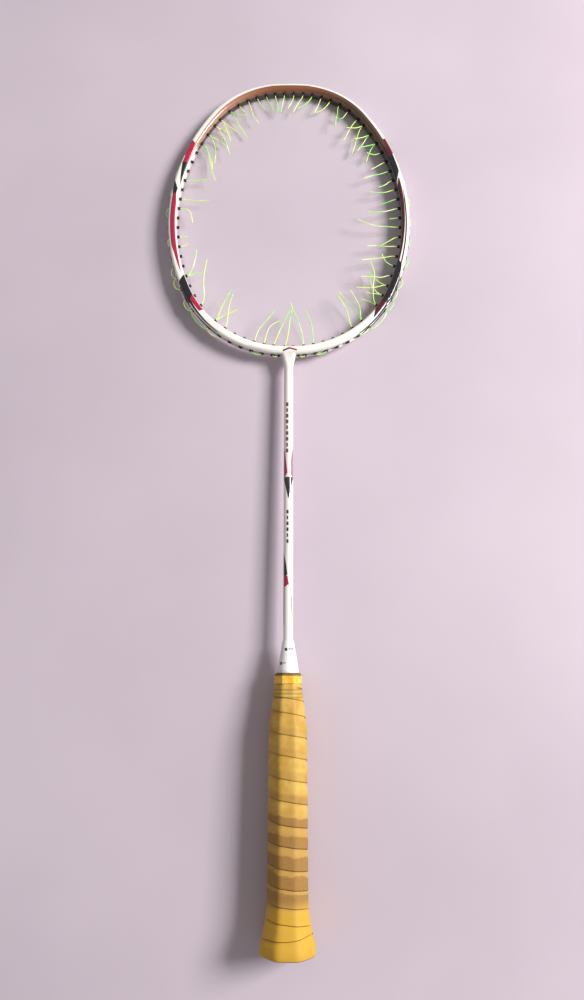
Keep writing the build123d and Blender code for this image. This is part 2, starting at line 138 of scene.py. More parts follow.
# Radius of what the overgrip is wound on, to the flats of the base grip and then on to the cone cap.
UNDER_GRIP = [(1.0, 16.6), (3.5, 17.2), (7.0, 16.9), (12.0, 15.6), (17.0, 14.2), (22.0, 13.3), (30.0, 12.5),
              (42.0, 12.3), (62.0, 12.3), (95.5, 12.2), (144.5, 11.85), (145.0, 10.7), (179.5, 7.9)]

# ---------------------------------------------------------------- node trees


class Graph:
    """The node tree of one material, with a short method for each kind of node it uses."""

    def __init__(self, name, roughness=0.5, specular=0.5, coat=0.0, subsurface=0.0):
        self.material = bpy.data.materials.new(name)
        self.material.use_nodes = True
        self.tree = self.material.node_tree
        self.shader = self.tree.nodes["Principled BSDF"]
        self.set("Roughness", roughness)
        self.set("Specular IOR Level", specular)
        self.set("Coat Weight", coat)
        self.set("Subsurface Weight", subsurface)

    def set(self, name, value):
        """Gives a socket of the shader a value, or links a node's output to it."""
        self.plug(self.shader.inputs[name], value)

    def plug(self, socket, value):
        """Links an output to a socket, or sets the socket to a number, a vector or a colour."""
        if isinstance(value, bpy.types.NodeSocket):
            self.tree.links.new(value, socket)
        elif socket.type == "RGBA":
            socket.default_value = (*value, 1.0)
        else:
            socket.default_value = value

    def node(self, kind, *inputs, **settings):
        """A node of this kind, with its settings and its inputs in order (None leaves one as it is)."""
        node = self.tree.nodes.new(kind)
        for key, value in settings.items():
            setattr(node, key, value)
        for socket, value in zip(node.inputs, inputs):
            if value is not None:
                self.plug(socket, value)
        return node

    def math(self, operation, *values):
        return self.node("ShaderNodeMath", *values, operation=operation).outputs[0]

    def sum(self, *values):
        total = values[0]
        for value in values[1:]:
            total = self.math("ADD", total, value)
        return total

    def product(self, *values):
        total = values[0]
        for value in values[1:]:
            total = self.math("MULTIPLY", total, value)
        return total

    def remap(self, value, low, high, to_low=0.0, to_high=1.0):
        """Smooth step of value from low..high to to_low..to_high."""
        node = self.node("ShaderNodeMapRange", value, low, high, to_low, to_high)
        node.interpolation_type = "SMOOTHSTEP"
        return node.outputs[0]

    def blend(self, factor, first, second):
        """Colour or number between first (factor 0) and second (factor 1)."""
        is_colour = isinstance(first, tuple) or getattr(first, "type", "") == "RGBA"
        node = self.tree.nodes.new("ShaderNodeMix")
        node.data_type = "RGBA" if is_colour else "FLOAT"
        sockets = [socket for socket in node.inputs if socket.enabled]
        for socket, value in zip(sockets, (factor, first, second)):
            self.plug(socket, value)
        return next(socket for socket in node.outputs if socket.enabled)

    def position(self):
        """Object coordinates in mm, as a vector. A CAD node's object sits at the frame's origin."""
        place = self.node("ShaderNodeTexCoord").outputs["Object"]
        return self.node("ShaderNodeVectorMath", place, (1 / MM,) * 3, operation="MULTIPLY").outputs[0]

    def split(self, vector):
        return self.node("ShaderNodeSeparateXYZ", vector).outputs

    def vector(self, *parts):
        return self.node("ShaderNodeCombineXYZ", *parts).outputs[0]

    def noise(self, vector, scale, detail=3.0, stretch=(1.0, 1.0, 1.0)):
        """Noise of about 0 to 1, with the given number of features per mm."""
        scales = tuple(scale * part for part in stretch)
        place = self.node("ShaderNodeVectorMath", vector, scales, operation="MULTIPLY")
        node = self.node("ShaderNodeTexNoise")
        self.plug(node.inputs["Vector"], place.outputs[0])
        self.plug(node.inputs["Scale"], 1.0)
        self.plug(node.inputs["Detail"], detail)
        return node.outputs["Fac"]

    def attribute(self, name):
        return self.node("ShaderNodeAttribute", attribute_name=name).outputs["Fac"]

    def bump(self, height, distance):
        """Bump from a height of 0 to 1, distance in mm."""
        node = self.node("ShaderNodeBump")
        self.plug(node.inputs["Height"], height)
        self.plug(node.inputs["Distance"], distance * MM)
        self.set("Normal", node.outputs[0])

    def inside(self, point, corners, blur=0.12):
        """1 inside the convex shape with these corners, 0 outside, from a point in mm.

        The depth is the least distance inward from the lines through the shape's sides.
        """
        middle_x = sum(x for x, _ in corners) / len(corners)
        middle_y = sum(y for _, y in corners) / len(corners)
        depth = None
        for (x0, y0), (x1, y1) in zip(corners, corners[1:] + corners[:1]):
            length = hypot(x1 - x0, y1 - y0)
            across = ((y0 - y1) / length, (x1 - x0) / length)
            offset = across[0] * x0 + across[1] * y0
            facing = 1 if across[0] * middle_x + across[1] * middle_y > offset else -1
            dot = self.node("ShaderNodeVectorMath", point, (facing * across[0], facing * across[1], 0.0),
                            operation="DOT_PRODUCT")
            edge = self.math("SUBTRACT", dot.outputs["Value"], facing * offset)
            depth = edge if depth is None else self.math("MINIMUM", depth, edge)
        return self.remap(depth, -blur, blur)

    def paint(self, base, point, patches):
        """Lays (colour, corners) patches over a base colour."""
        for colour, corners in patches:
            base = self.blend(self.inside(point, corners), base, colour)
        return base


def rgb(*levels):
    """Display colour of 0 to 255 a channel as the linear colour that nodes take."""
    return tuple(((level / 255 + 0.055) / 1.055) ** 2.4 for level in levels)


def dress(node, graph):
    """Gives a CAD node's object a material."""
    for slot in nodes[node].material_slots:
        slot.material = graph.material


# ---------------------------------------------------------------- outline of the head


def quarter_oval(half_width, half_length, radii):
    """Three tangent arcs from the widest point (half_width, 0) to the tip (0, half_length)."""
    side_r, shoulder_r, tip_r = radii
    side_x = half_width - side_r
    tip_y = half_length - tip_r
    span = hypot(side_x, tip_y)
    from_side = side_r - shoulder_r
    from_tip = tip_r - shoulder_r
    along = (from_side ** 2 - from_tip ** 2 + span ** 2) / (2 * span)
    across = sqrt(from_side ** 2 - along ** 2)
    unit_x, unit_y = -side_x / span, tip_y / span
    shoulder = (side_x + unit_x * along - unit_y * across, unit_y * along + unit_x * across)
    side_end = atan2(shoulder[1], shoulder[0] - side_x)
    shoulder_end = atan2(shoulder[1] - tip_y, shoulder[0])
    return [((side_x, 0.0), side_r, 0.0, side_end),
            (shoulder, shoulder_r, side_end, shoulder_end),
            ((0.0, tip_y), tip_r, shoulder_end, pi / 2)]


CROWN_ARCS = quarter_oval(HALF_WIDTH, CROWN_HALF_LENGTH, CROWN_RADII)
THROAT_ARCS = quarter_oval(HALF_WIDTH, THROAT_HALF_LENGTH, THROAT_RADII)


def hole_on(arcs, way, x=None, y=None):
    """Mid-line point and outward normal where the outline has the given x, or y from the widest line.

    way is 1 for the crown's arcs and -1 for the throat's, which are mirrored down.
    """
    for (centre_x, centre_y), radius, start, end in arcs:
        angle = acos((x - centre_x) / radius) if y is None else asin((abs(y) - centre_y) / radius)
        if start <= angle <= end:
            y_from_widest = way * (centre_y + radius * sin(angle))
            point = Vector((centre_x + radius * cos(angle), HEAD_CENTRE_Y + y_from_widest, 0))
            return point, Vector((cos(angle), way * sin(angle), 0))
    raise ValueError("no hole at this place")


def all_holes():
    """Every hole as (inner wall point, direction to the outside, stretch), once round from the throat."""
    main_xs = [MAIN_PITCH * (k + 0.5) for k in range(MAINS_PER_SIDE)]
    places = [hole_on(THROAT_ARCS, -1, x=x) for x in main_xs]
    for k in range(CROSSES):
        y = FIRST_CROSS_Y + CROSS_PITCH * k - HEAD_CENTRE_Y
        places.append(hole_on(THROAT_ARCS, -1, y=y) if y < 0 else hole_on(CROWN_ARCS, 1, y=y))
    places += [hole_on(CROWN_ARCS, 1, x=x) for x in reversed(main_xs)]
    holes = []
    for number, (middle, normal) in enumerate(places):
        lean = radians(THROAT_HOLE_LEAN) if number == 0 else 0.0
        direction = Euler((0, 0, lean)).to_matrix() @ normal
        holes.append((middle - normal * (FRAME_WIDTH / 2), direction, 1 / cos(lean)))
    mirror = Vector((-1, 1, 1))
    return holes + [(p * mirror, d * mirror, stretch) for p, d, stretch in reversed(holes)]


HOLES = all_holes()

# ---------------------------------------------------------------- camera, light and floor

# The photograph's viewing angle: place in metres, turn in degrees, lens in mm.
CAMERA_PLACE = (0.0037, 0.1687, 0.5478)
CAMERA_TURN = (13.12, 0.06, 0.03)
CAMERA_LENS = 27.36
CAMERA_SHIFT = (-0.0005, 0.012)

# Even light from all round and one key lamp, with its places and its side in metres.
AMBIENT_COLOUR = (1.0, 0.97, 0.96, 1.0)
AMBIENT_STRENGTH = 0.31
KEY_PLACE = (1.7, 0.75, 1.45)
KEY_AIM = (0, 0.3, 0)
KEY_SIZE = 0.8
KEY_WATTS = 70.0
KEY_COLOUR = (1.0, 0.98, 0.96)

# The racket rests on the rim of its butt and on its crown, as (y, z) in mm. The floor's side is in metres.
FLOOR_CONTACTS = ((4.0, -18.5), (664.5, -5.25))
FLOOR_SIZE = 6.0


def add_camera():
    camera = bpy.data.objects.new("camera", bpy.data.cameras.new("camera"))
    bpy.context.scene.collection.objects.link(camera)
    camera.location = CAMERA_PLACE
    camera.rotation_euler = [radians(turn) for turn in CAMERA_TURN]
    camera.data.lens = CAMERA_LENS
    camera.data.shift_x, camera.data.shift_y = CAMERA_SHIFT
    camera.data.clip_start = 0.01
    bpy.context.scene.camera = camera


def add_key_lamp():
    """One soft square lamp, high on the right, so that shadows fall to the left."""
    lamp = bpy.data.objects.new("key", bpy.data.lights.new("key", "AREA"))
    bpy.context.scene.collection.objects.link(lamp)
    lamp.location = KEY_PLACE
    lamp.rotation_mode = "QUATERNION"
    lamp.rotation_quaternion = (Vector(KEY_PLACE) - Vector(KEY_AIM)).to_track_quat("Z", "Y")
    lamp.data.size = KEY_SIZE
    lamp.data.energy = KEY_WATTS
    lamp.data.color = KEY_COLOUR


def add_world():
    world = bpy.data.worlds.new("world")
    world.use_nodes = True
    background = world.node_tree.nodes["Background"]
    background.inputs["Color"].default_value = AMBIENT_COLOUR
    background.inputs["Strength"].default_value = AMBIENT_STRENGTH
    bpy.context.scene.world = world


def add_floor():
    """A pale floor under the butt's rim and the crown, so it slopes a little in the racket's own frame."""
    (low_y, low_z), (high_y, high_z) = FLOOR_CONTACTS
    slope = atan2(high_z - low_z, high_y - low_y)
    bpy.ops.mesh.primitive_plane_add(size=FLOOR_SIZE)
    floor = bpy.context.object
    floor.name = "floor"
    floor.location = (0, low_y * MM, low_z * MM)
    floor.rotation_euler = (slope, 0, 0)
    graph = Graph("floor", roughness=0.42, specular=0.35)
    cloud = graph.noise(graph.position(), 0.004, 4.0)
    colour = graph.blend(graph.remap(cloud, 0.3, 0.7), rgb(200, 187, 199), rgb(209, 196, 208))
    graph.set("Base Color", colour)
    floor.data.materials.append(graph.material)


bpy.context.scene.view_settings.view_transform = "Standard"
add_camera()
add_world()
add_key_lamp()
add_floor()

# ---------------------------------------------------------------- cut strings


def string_material():
    """Fluorescent yellow-green nylon, greener and paler by turns, with a fine wrap and a faint painted glow.
    """
    graph = Graph("string_nylon", roughness=0.3, specular=0.6, subsurface=0.15)
    graph.set("Subsurface Radius", (0.0006, 0.001, 0.0003))
    place = graph.position()
    lot = graph.noise(place, 0.045, 1.0)
    green = graph.blend(graph.remap(lot, 0.4, 0.62), rgb(216, 246, 120), rgb(150, 236, 116))
    pale = graph.remap(graph.noise(place, 0.11, 2.0), 0.5, 0.66)
    colour = graph.blend(pale, green, rgb(238, 250, 190))
    graph.set("Base Color", colour)
    # Painted glow: the nylon gives off a little light of its own colour.
    graph.set("Emission Color", colour)
    graph.set("Emission Strength", 0.22)
    graph.bump(graph.noise(place, 4.0, 2.0), 0.05)
    return graph


def string_end(number, lane, stub, slack):
    """The route from the last point in the bore out to the corner over the outside of the frame."""
    inner, direction, stretch = HOLES[number]
    rise = Vector((0, 0, lane * LANE_OFFSET))
    mouth = inner - direction * (MOUTH_REACH if stub else SHORT_CUT_REACH) + rise
    edge = inner + direction * EDGE_POINT_REACH * stretch + rise
    corner = inner + direction * (LOOP_REACH * stretch + slack) + rise
    tips = [mouth + Vector(offset) for offset in reversed(stub)]
    return tips + [mouth, edge, corner], mouth


def add_string(number, slack, first, second, graph):
    """One cut string: from its first tip over the frame to its second tip."""
    start, first_mouth = string_end(*first, slack)
    end, second_mouth = string_end(*second, slack)
    points = start + list(reversed(end))
    curve = bpy.data.curves.new(f"cut_string_{number:02d}", "CURVE")
    curve.dimensions = "3D"
    curve.bevel_depth = STRING_D / 2 * MM
    curve.bevel_resolution = 3
    curve.resolution_u = 8
    curve.use_fill_caps = True
    spline = curve.splines.new("NURBS")
    spline.points.add(len(points) - 1)
    for control, point in zip(spline.points, points):
        control.co = (*(point * MM), 1.0)
    spline.order_u = 3
    spline.use_endpoint_u = True
    curve.materials.append(graph.material)
    string = bpy.data.objects.new(curve.name, curve)
    bpy.context.scene.collection.objects.link(string)
    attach(string, "root")
    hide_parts(f"string_{number:02d}")


string_graph = string_material()
for string_number, (string_length, string_slack, first_end, second_end) in enumerate(CUT_STRINGS, start=1):
    add_string(string_number, string_slack, first_end, second_end, string_graph)

# ---------------------------------------------------------------- painted frame

CREAM = rgb(250, 246, 240)
BLACK = rgb(28, 26, 30)
CRIMSON = rgb(178, 30, 66)
MAROON = rgb(84, 24, 36)

# Painted shapes on each side of the head as (colour, corners). A corner is (v, e): v is mm above the
# head's widest line, and e is mm outward from the middle of the frame's face.
LEFT_SHAPES = [
    (CRIMSON, [(74, 4.5), (63, 4.5), (57, 1.6), (66, -4.5)]),
    (CRIMSON, [(65, 1.6), (50, 1.4), (49, -4.5), (66, -4.5)]),
    (BLACK, [(64, 4.5), (49, 4.5), (49, 2.5), (59, 2.3)]),
    (BLACK, [(51, 1.4), (26, -3.4), (31, -4.5), (51, -4.5)]),
    (BLACK, [(36, 3.2), (26, -1.6), (20, -0.8), (20, 1.4), (27, 2.4)]),
    (CRIMSON, [(22, 0.9), (22, -1.2), (13, -2.4), (-17, -2.4), (-35, -2.2), (-47, -1.4), (-49, -0.9),
               (-27, 0.9)]),
    (MAROON, [(22, 1.5), (22, 0.7), (-32, 0.7), (-25, 1.5)]),
    (BLACK, [(-49, -4.5), (-59, 4.5), (-77, 4.5), (-74, 0.5), (-66, -4.5)]),
    (CRIMSON, [(-66, -4.5), (-73, 1.0), (-83, 0.6), (-81, -4.5)]),
    (BLACK, [(-74, 0.8), (-73, 2.4), (-100, 3.0), (-101, 2.6)]),
]
# The right side has the left side's design darkened as painted shade: maroon for its crimson, black for its
# maroon line.
RIGHT_SHAPES_IN_SHADE = [
    (MAROON, [(75, 4.5), (61, 4.5), (53, -4.5), (69, -4.5)]),
    (BLACK, [(61, 4.5), (50, 4.5), (43, 1.5), (28, 1.0), (28, -4.5), (54, -4.5)]),
    (BLACK, [(50, 2.5), (50, 0.5), (28, -0.2), (-47, -0.2), (-47, 0.8), (28, 0.8)]),
    (MAROON, [(36, 0.2), (36, -1.0), (23, -4.5), (-36, -4.5), (-42, -0.2), (23, -0.1)]),
    (BLACK, [(-35, -4.5), (-42, 0.9), (-63, 4.5), (-77, 2.5), (-75, -4.5)]),
    (MAROON, [(-75, -4.5), (-74, 1.5), (-89, 1.5), (-81, -2.5)]),
    (BLACK, [(-77, 3.2), (-77, 2.0), (-101, 3.0), (-101, 3.3)]),
]

# Small chevron over the T-joint as (colour, corners), corners (x, y).
THROAT_SHAPES = [
    (MAROON, [(-4.8, 423.7), (0.6, 426.1), (0.6, 424.6), (-4.4, 422.4)]),
    (CRIMSON, [(0.5, 426.1), (6.6, 424.3), (6.2, 423.0), (0.5, 424.6)]),
]

# The inner wall starts where the offset from the middle of the face passes these two values.
INNER_WALL = (-2.7, -3.0)
# Painted shade: the right inner wall is painted black, over the reach up and down from a middle the drop
# below the head's widest line.
SHADED_WALL_DROP = 6.0
SHADED_WALL_REACH = (70.0, 69.0)
# The bronze band inside the crown starts this far above the widest line.
BRONZE_START = (63.0, 69.0)


def offset_from_outline(graph, x, v):
    """Signed distance outward from the middle line of the head, from the arcs that it is made of."""
    side = graph.math("ABSOLUTE", x)
    height = graph.math("ABSOLUTE", v)
    point = graph.vector(side, height, 0.0)
    halves = []
    for arcs in (THROAT_ARCS, CROWN_ARCS):
        offset = None
        for (centre_x, centre_y), radius, start, _ in arcs:
            reach = graph.node("ShaderNodeVectorMath", point, (centre_x, centre_y, 0.0), operation="DISTANCE")
            here = graph.math("SUBTRACT", reach.outputs["Value"], radius)
            if offset is None:
                offset = here
            else:
                past = graph.math("GREATER_THAN", height, centre_y + radius * sin(start))
                offset = graph.blend(past, offset, here)
        halves.append(offset)
    return graph.blend(graph.math("GREATER_THAN", v, 0.0), *halves)


def frame_paint():
    """Cream gloss lacquer with red and black shapes down the sides, a bronze band inside the crown, and
    painted light and shade.
    """
    graph = Graph("frame_paint", coat=0.7)
    place = graph.position()
    x, y, z = graph.split(place)
    v = graph.math("SUBTRACT", y, HEAD_CENTRE_Y)
    offset = offset_from_outline(graph, x, v)
    face = graph.vector(v, offset, 0.0)

    right = graph.remap(x, -0.1, 0.1)
    inner_wall = graph.remap(offset, *INNER_WALL)
    painted_left = graph.paint(CREAM, face, LEFT_SHAPES)
    painted_left = graph.blend(inner_wall, painted_left, CREAM)
    # Painted shade on the right: darker shapes and a black inner wall.
    in_wall_shade = graph.remap(graph.math("ABSOLUTE", graph.sum(v, SHADED_WALL_DROP)), *SHADED_WALL_REACH)
    painted_right = graph.paint(CREAM, face, RIGHT_SHAPES_IN_SHADE)
    painted_right = graph.blend(graph.product(inner_wall, in_wall_shade), painted_right, BLACK)
    colour = graph.blend(right, painted_left, painted_right)

    # Bronze in painted light and shade: pink at the lit left through brown to dark brown at the shaded right.
    warm = graph.blend(graph.remap(x, -75.0, -5.0), rgb(190, 142, 118), rgb(140, 84, 52))
    bronze = graph.blend(graph.remap(x, 5.0, 62.0), warm, rgb(88, 62, 44))
    band_edge = graph.remap(x, -80.0, 0.0, -1.2, 0.6)
    on_band = graph.remap(graph.math("SUBTRACT", band_edge, offset), -0.15, 0.15)
    in_crown = graph.remap(v, *BRONZE_START)
    # Painted shade: the lower part of the inner wall is nearly black.
    under = graph.product(inner_wall, graph.remap(z, 1.2, 0.4))
    bronze = graph.blend(under, bronze, rgb(52, 42, 26))
    colour = graph.blend(graph.product(on_band, in_crown), colour, bronze)

    on_top = graph.remap(z, 2.0, 2.4)
    chevron = graph.paint(colour, place, THROAT_SHAPES)
    colour = graph.blend(on_top, colour, chevron)

    wear = graph.noise(place, 0.9, 5.0)
    chips = graph.product(graph.remap(wear, 0.70, 0.74), graph.remap(offset, 2.2, 3.0))
    graph.set("Base Color", graph.blend(chips, colour, rgb(120, 112, 108)))
    graph.set("Roughness", graph.remap(graph.noise(place, 0.25, 3.0), 0.3, 0.75, 0.2, 0.36))
    graph.bump(graph.noise(place, 0.8, 2.0), 0.03)
    return graph


# Painted shapes down the shaft as (colour, corners), corners (x, y). They are on its +Z side only.
SHAFT_GREY = rgb(120, 108, 116)
BROWN = rgb(120, 62, 60)
SHAFT_SHAPES = [
    (CRIMSON, [(-3.6, 350.5), (-2.3, 339.5), (-0.2, 326.5), (-3.6, 321.5)]),
    (rgb(168, 112, 124), [(3.6, 350.5), (2.3, 339.5), (0.2, 326.5), (3.6, 321.5)]),
    (BLACK, [(-3.6, 322.5), (3.6, 322.5), (0.3, 306.5), (-0.3, 306.5)]),
    (BLACK, [(-3.6, 266.5), (-1.6, 257.5), (-0.6, 249.5), (-3.6, 246.5)]),
    (CRIMSON, [(-3.6, 248.5), (-0.6, 248.5), (0.4, 242.5), (-3.6, 239.5)]),
    (MAROON, [(-0.6, 246.5), (0.4, 242.5), (2.6, 231.5), (1.9, 233.5)]),
    (SHAFT_GREY, [(1.9, 234.5), (2.6, 232.5), (3.0, 219.5), (2.5, 219.5)]),
    (BLACK, [(-3.6, 240.5), (-2.8, 239.5), (-3.0, 213.5), (-3.6, 211.5)]),
]
# Rows of short plain dashes: (colour, x, first y, count, pitch, length, width).
SHAFT_DASHES = [
    (BROWN, -1.0, 341.5, 9, 4.6, 2.9, 1.9),
    (BLACK, -0.6, 272.5, 6, 4.4, 2.7, 1.6),
]


def dash_shapes():
    """The dashes of every row as (colour, corners). Each third one, from the second, is narrower."""
    shapes = []
    for colour, x, first_y, count, pitch, length, width in SHAFT_DASHES:
        for k in range(count):
            y = first_y + pitch * k
            half = width / 2 * (0.7 if k % 3 == 1 else 1.0)
            corners = [(x - half, y), (x + half, y), (x + half, y + length), (x - half, y + length)]
            shapes.append((colour, corners))
    return shapes


def shaft_paint():
    """White gloss lacquer with the same colours in slim wedges and two rows of plain dashes."""
    graph = Graph("shaft_paint", coat=0.7)
    place = graph.position()
    z = graph.split(place)[2]
    colour = graph.paint(CREAM, place, SHAFT_SHAPES + dash_shapes())
    colour = graph.blend(graph.remap(z, -0.2, 0.2), CREAM, colour)
    dust = graph.noise(place, 0.12, 4.0, stretch=(1.0, 0.3, 1.0))
    graph.set("Base Color", graph.blend(graph.remap(dust, 0.45, 0.8, 0.0, 0.12), colour, rgb(170, 160, 165)))
    graph.set("Roughness", graph.remap(dust, 0.3, 0.75, 0.18, 0.34))
    graph.bump(graph.noise(place, 0.8, 2.0), 0.02)
    return graph


def joint_paint():
    """The same cream lacquer, greyer in the corner where the joint meets the head."""
    graph = Graph("joint_paint", coat=0.7)
    place = graph.position()
    y = graph.split(place)[1]
    # Greyer in patches towards the corner where the joint meets the head.
    corner_grey = graph.product(graph.remap(y, 415.5, 420.5), graph.noise(place, 0.5, 3.0))
    graph.set("Base Color", graph.blend(graph.product(corner_grey, 0.35), CREAM, rgb(150, 140, 140)))
    graph.set("Roughness", graph.remap(graph.noise(place, 0.3, 3.0), 0.3, 0.75, 0.2, 0.34))
    graph.bump(graph.noise(place, 0.9, 2.0), 0.03)
    return graph


# Two dark marks on the cone cap, each with a grey streak to its right, as (colour, corners), corners (x, y).
CONE_WHITE = rgb(247, 244, 245)
CONE_SHAPES = [
    (rgb(66, 52, 58), [(-2.6, 196.9), (-0.6, 197.1), (-0.4, 195.1), (-2.2, 194.9)]),
    (rgb(150, 140, 150), [(0.4, 196.7), (3.6, 197.3), (3.6, 195.7), (0.6, 195.5)]),
    (rgb(50, 42, 48), [(-5.8, 187.1), (-4.4, 187.5), (-4.2, 185.5), (-5.4, 185.1)]),
    (rgb(150, 138, 150), [(-4.0, 186.7), (-1.6, 187.1), (-1.6, 186.3), (-4.0, 186.1)]),
]


def cone_plastic():
    """White satin plastic with faint flow marks, the small marks and dirt above the tape."""
    graph = Graph("cone_plastic", specular=0.45)
    place = graph.position()
    _, y, z = graph.split(place)
    marked = graph.paint(CONE_WHITE, place, CONE_SHAPES)
    colour = graph.blend(graph.remap(z, 1.0, 2.0), CONE_WHITE, marked)
    cloud = graph.noise(place, 0.25, 4.0)
    dirt = graph.product(graph.remap(y, 184.5, 179.5), graph.remap(cloud, 0.35, 0.7))
    colour = graph.blend(graph.product(dirt, 0.5), colour, rgb(150, 120, 90))
    graph.set("Base Color", colour)
    graph.set("Roughness", graph.remap(cloud, 0.3, 0.7, 0.3, 0.46))
    graph.bump(graph.noise(place, 1.2, 3.0), 0.03)
    return graph


# ---------------------------------------------------------------- grommets and the parts under the grip


def grommet_nylon():
    """Black nylon, a little dusty, with a moulded grain."""
    graph = Graph("grommet_nylon", specular=0.45)
    place = graph.position()
    dust = graph.noise(place, 0.6, 4.0)
    dusty = graph.remap(dust, 0.45, 0.8, 0.0, 0.4)
    graph.set("Base Color", graph.blend(dusty, rgb(26, 25, 27), rgb(92, 88, 90)))
    graph.set("Roughness", graph.remap(dust, 0.3, 0.7, 0.32, 0.52))
    graph.bump(graph.noise(place, 5.0, 2.0), 0.03)
    return graph


def handle_wood():
    """Pale wood with its grain along the handle."""
    graph = Graph("handle_wood", specular=0.3)
    place = graph.position()
    grain = graph.noise(place, 1.1, 5.0, stretch=(1.0, 0.06, 1.0))
    rings = graph.noise(place, 0.35, 2.0, stretch=(1.0, 0.04, 0.3))
    pale = graph.blend(graph.remap(rings, 0.35, 0.65), rgb(222, 188, 140), rgb(196, 154, 102))
    graph.set("Base Color", graph.blend(graph.remap(grain, 0.5, 0.75), pale, rgb(160, 118, 74)))
    graph.set("Roughness", graph.remap(grain, 0.3, 0.7, 0.55, 0.75))
    graph.bump(grain, 0.12)
    return graph


OUTER_RING_R = 11.4
INNER_RING_R = 7.6


def badge_plastic():
    """Dark satin plastic, moulded with two raised rings."""
    graph = Graph("badge_plastic", specular=0.45)
    place = graph.position()
    x, _, z = graph.split(place)
    reach = graph.node("ShaderNodeVectorMath", graph.vector(x, 0.0, z), operation="LENGTH").outputs["Value"]
    outer_ring = graph.remap(graph.math("ABSOLUTE", graph.sum(reach, -OUTER_RING_R)), 0.5, 0.3)
    inner_ring = graph.remap(graph.math("ABSOLUTE", graph.sum(reach, -INNER_RING_R)), 0.4, 0.2)
    rings = graph.math("MAXIMUM", outer_ring, inner_ring)
    grain = graph.noise(place, 3.0, 3.0)
    graph.set("Base Color", graph.blend(rings, rgb(44, 44, 48), rgb(74, 74, 78)))
    graph.set("Roughness", graph.remap(grain, 0.3, 0.7, 0.36, 0.55))
    graph.bump(graph.sum(graph.product(rings, 0.8), graph.product(grain, 0.2)), 0.35)
    return graph


PORES_PER_MM = 0.35


def base_grip_leather():
    """Dark grained base grip with small breathing holes."""
    graph = Graph("base_grip_leather", specular=0.35)
    place = graph.position()
    grain = graph.noise(place, 2.2, 4.0)
    spread = graph.node("ShaderNodeVectorMath", place, (PORES_PER_MM,) * 3, operation="MULTIPLY")
    cells = graph.node("ShaderNodeTexVoronoi", spread.outputs[0])
    pores = graph.remap(cells.outputs["Distance"], 0.12, 0.18)
    graph.set("Base Color", graph.blend(graph.remap(grain, 0.3, 0.7), rgb(34, 34, 37), rgb(62, 61, 65)))
    graph.set("Roughness", graph.remap(grain, 0.3, 0.7, 0.6, 0.8))
    graph.bump(graph.product(pores, graph.sum(0.7, graph.product(grain, 0.3))), 0.25)
    return graph


def finishing_tape():
    """Yellow-orange vinyl tape, darker at its upper edge and finely crinkled round the handle."""
    graph = Graph("finishing_tape", specular=0.5)
    place = graph.position()
    y = graph.split(place)[1]
    cloud = graph.noise(place, 0.35, 3.0)
    crinkle = graph.noise(place, 0.8, 3.0, stretch=(0.25, 1.6, 0.25))
    colour = graph.blend(graph.remap(cloud, 0.35, 0.65), rgb(240, 176, 48), rgb(250, 200, 84))
    graph.set("Base Color", graph.blend(graph.remap(y, 177.1, 178.3), colour, rgb(120, 100, 40)))
    graph.set("Roughness", graph.remap(cloud, 0.3, 0.7, 0.36, 0.55))
    graph.bump(crinkle, 0.25)
    return graph


MATERIAL_OF = {
    "head_frame": frame_paint,
    "shaft": shaft_paint,
    "t_joint": joint_paint,
    "cone_cap": cone_plastic,
    "handle_core": handle_wood,
    "butt_badge": badge_plastic,
    "base_grip": base_grip_leather,
    "finishing_tape": finishing_tape,
}
for cad_node, make_graph in MATERIAL_OF.items():
    dress(cad_node, make_graph())
nylon = grommet_nylon()
for grommet_row in ("grommets_bottom", "grommets_right", "grommets_crown", "grommets_left"):
    dress(grommet_row, nylon)

# ---------------------------------------------------------------- wound overgrip

TAPE_WIDTH = 25.0
TAPE_THICKNESS = 0.55
# How far the outer face drops under each turn that lies over it.
TAPE_STEP = 0.62
# The outer face rounds in by EDGE_ROLL over the last EDGE_ROLL_WIDTH before the lower edge.
EDGE_ROLL = 0.35
EDGE_ROLL_WIDTH = 0.4
# Least gap between the tape's inner face and what it is wound on.
UNDER_GAP = 0.05
TAPE_START = -0.6
TAPE_END = 13.9
TAPE_TOP = 179.7
# Columns that would pass TAPE_TOP are squeezed in below it, this far apart per mm of tape.
TOP_SQUEEZE = 0.02
# Least distance between two seams that the overlap of the turns is worked out for.
LEAST_PITCH = 6.5
STEPS_PER_TURN = 72
# Sharpness of the octagon's corners against height.
FLAT_SHARPNESS = [(12.0, 20.0), (35.0, 28.0)]
# Step down under the finishing tape: (from height, to height, depth).
RECESS = (171.5, 172.3, 0.48)

# Height of the tape's lower edge in mm from the butt, against turns from the start. A whole number
# of turns is the middle of the +Z side. The first turn is wound skew, over its own start.
SEAMS = [(0.0, 0.9), (0.45, 2.0), (0.8, 14.2), (1.0, 12.0), (1.2, 11.6), (1.5, 15.0), (2.0, 21.1),
         (3.0, 30.7), (4.0, 41.7), (5.0, 53.5), (6.0, 67.5), (7.0, 80.5), (8.0, 95.5), (9.0, 109.4),
         (10.0, 124.5), (11.0, 138.2), (12.0, 152.7), (13.0, 162.4), (14.0, 170.7)]
# Where each column of the tape's mesh lies across it, in mm from its lower edge.
COLUMNS = [0.0, 0.12, 0.4, 1.0] + [2.0 + 1.15 * k for k in range(20)] + [TAPE_WIDTH]


def along_table(table, place):
    """Value at a place in a table of (place, value), straight between its rows."""
    if place <= table[0][0]:
        return table[0][1]
    for (low, first), (high, second) in zip(table, table[1:]):
        if place <= high:
            return first + (second - first) * (place - low) / (high - low)
    return table[-1][1]


def soft_step(low, high, value):
    """0 up to low and 1 from high on, with a smooth rise between them."""
    part = min(max((value - low) / (high - low), 0.0), 1.0)
    return part * part * (3 - 2 * part)


def octagon(angle, radius, sharpness):
    """Distance to an octagon with flats at this radius, rounder at its corners the less sharp it is."""
    total = sum(abs(cos(angle - pi / 4 * k)) ** sharpness for k in range(4))
    return radius / total ** (1 / sharpness)


